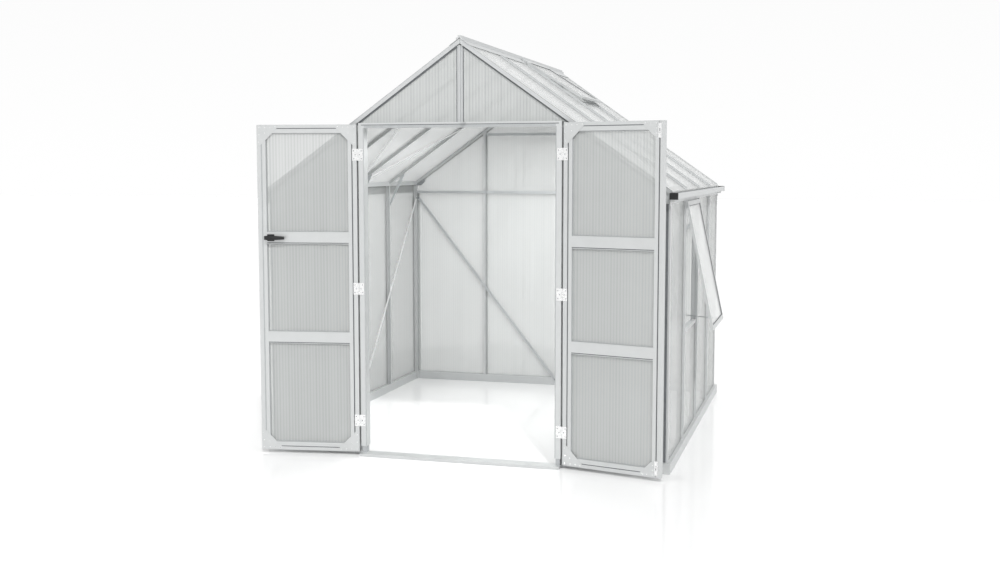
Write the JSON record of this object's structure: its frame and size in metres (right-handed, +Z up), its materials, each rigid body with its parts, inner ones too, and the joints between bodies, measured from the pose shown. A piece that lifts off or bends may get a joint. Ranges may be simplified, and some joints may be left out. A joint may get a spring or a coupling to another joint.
{
  "type": "greenhouse",
  "caption": "Walk-in gable greenhouse: aluminium glazing bars and twin-wall sheets, double hinged doors held wide open, a top-hung side window and a roof vent",
  "frame": {"origin": "on the ground at the middle of the doorway, in the plane of the front base rails; the door sill's underside", "axes": "+X to the right seen from the front, +Y into the house, +Z up"},
  "size_m": [2.6917, 2.8754, 2.496],
  "materials": {
    "frame_aluminium": "mill finish, satin",
    "door_aluminium": "satin",
    "base_castings": "satin",
    "zinc_steel": "zinc plated",
    "polished_steel": "bright",
    "black_plastic": "matte",
    "end_cap_plastic": "matte",
    "twin_wall_sheet": "translucent twin-wall polycarbonate"
  },
  "bodies": {
    "house": {"front_base_rails": "frame_aluminium", "side_base_rails": "frame_aluminium", "back_base_rail": "frame_aluminium", "corner_posts": "frame_aluminium", "door_posts": "frame_aluminium", "door_header": "frame_aluminium", "side_studs": "frame_aluminium", "back_studs": "frame_aluminium", "front_eave_rails": "frame_aluminium", "back_tie_rail": "frame_aluminium", "back_gable_rail": "frame_aluminium", "front_rafters": "frame_aluminium", "back_rafters": "frame_aluminium", "roof_bars": "frame_aluminium", "gable_mullion": "frame_aluminium", "ridge_beam": "frame_aluminium", "ridge_crest": "frame_aluminium", "ridge_skirts": "frame_aluminium", "eave_beams": "frame_aluminium", "gutters": "frame_aluminium", "side_wall_braces": "frame_aluminium", "back_braces": "frame_aluminium", "roof_braces": "frame_aluminium", "knee_braces": "frame_aluminium", "vent_hinge_rail": "frame_aluminium", "vent_sill": "frame_aluminium", "window_head_rail": "frame_aluminium", "window_sill": "frame_aluminium", "door_sill": "base_castings", "base_corner_blocks": "base_castings", "door_post_feet": "base_castings", "gutter_end_caps": "end_cap_plastic", "eave_brackets": "zinc_steel", "brace_bolts": "zinc_steel", "front_sheets": "twin_wall_sheet", "back_sheets": "twin_wall_sheet", "side_sheets": "twin_wall_sheet", "roof_sheets": "twin_wall_sheet", "stay_pin": "zinc_steel", "post_hinge_plates": "polished_steel"},
    "left_leaf": {"left_door_stiles": "door_aluminium", "left_door_rails": "door_aluminium", "left_door_gussets": "door_aluminium", "left_door_panes": "twin_wall_sheet", "left_door_hinge_plates": "polished_steel", "latch_roses": "black_plastic"},
    "handle": {"latch_handle": "black_plastic"},
    "right_leaf": {"right_door_stiles": "door_aluminium", "right_door_rails": "door_aluminium", "right_door_gussets": "door_aluminium", "right_door_panes": "twin_wall_sheet", "right_door_hinge_plates": "polished_steel", "flush_bolt_plates": "polished_steel"},
    "top_bolt": {"flush_bolt_top": "polished_steel"},
    "bottom_bolt": {"flush_bolt_bottom": "polished_steel"},
    "window": {"window_sash": "door_aluminium", "window_pane": "twin_wall_sheet"},
    "stay": {"window_stay": "zinc_steel"},
    "vent": {"vent_sash": "door_aluminium", "vent_pane": "twin_wall_sheet"}
  },
  "joints": [
    {"name": "left_leaf_swing", "type": "hinge", "parent": "house", "child": "left_leaf", "pos_m": [-0.623, -0.032, 0], "axis": [0, 0, 1], "range_deg": [-4, 171]},
    {"name": "handle_turn", "type": "hinge", "parent": "left_leaf", "child": "handle", "pos_m": [-1.15438, -0.11616, 1.315], "axis": [0.1564, -0.9877, 0], "range_deg": [-45, 45]},
    {"name": "right_leaf_swing", "type": "hinge", "parent": "house", "child": "right_leaf", "pos_m": [0.623, -0.032, 0], "axis": [0, 0, 1], "range_deg": [-166, 9]},
    {"name": "top_bolt_slide", "type": "slide", "parent": "right_leaf", "child": "top_bolt", "axis": [0, 0, 1], "range_m": [0, 0.012]},
    {"name": "bottom_bolt_slide", "type": "slide", "parent": "right_leaf", "child": "bottom_bolt", "axis": [0, 0, -1], "range_m": [0, 0.012]},
    {"name": "window_swing", "type": "hinge", "parent": "house", "child": "window", "pos_m": [1.24, 0, 1.524], "axis": [0, -1, 0], "range_deg": [-12, 8]},
    {"name": "stay_turn", "type": "hinge", "parent": "window", "child": "stay", "pos_m": [1.39119, 0, 0.75258], "axis": [0, -1, 0], "range_deg": [-5, 7]},
    {"name": "vent_swing", "type": "hinge", "parent": "house", "child": "vent", "pos_m": [0.04855, 0, 2.45663], "axis": [0, -1, 0], "range_deg": [-3, 32]}
  ],
  "couplings": [
    {"joint": "stay_turn", "follows": "window_swing", "ratio": -0.53}
  ]
}
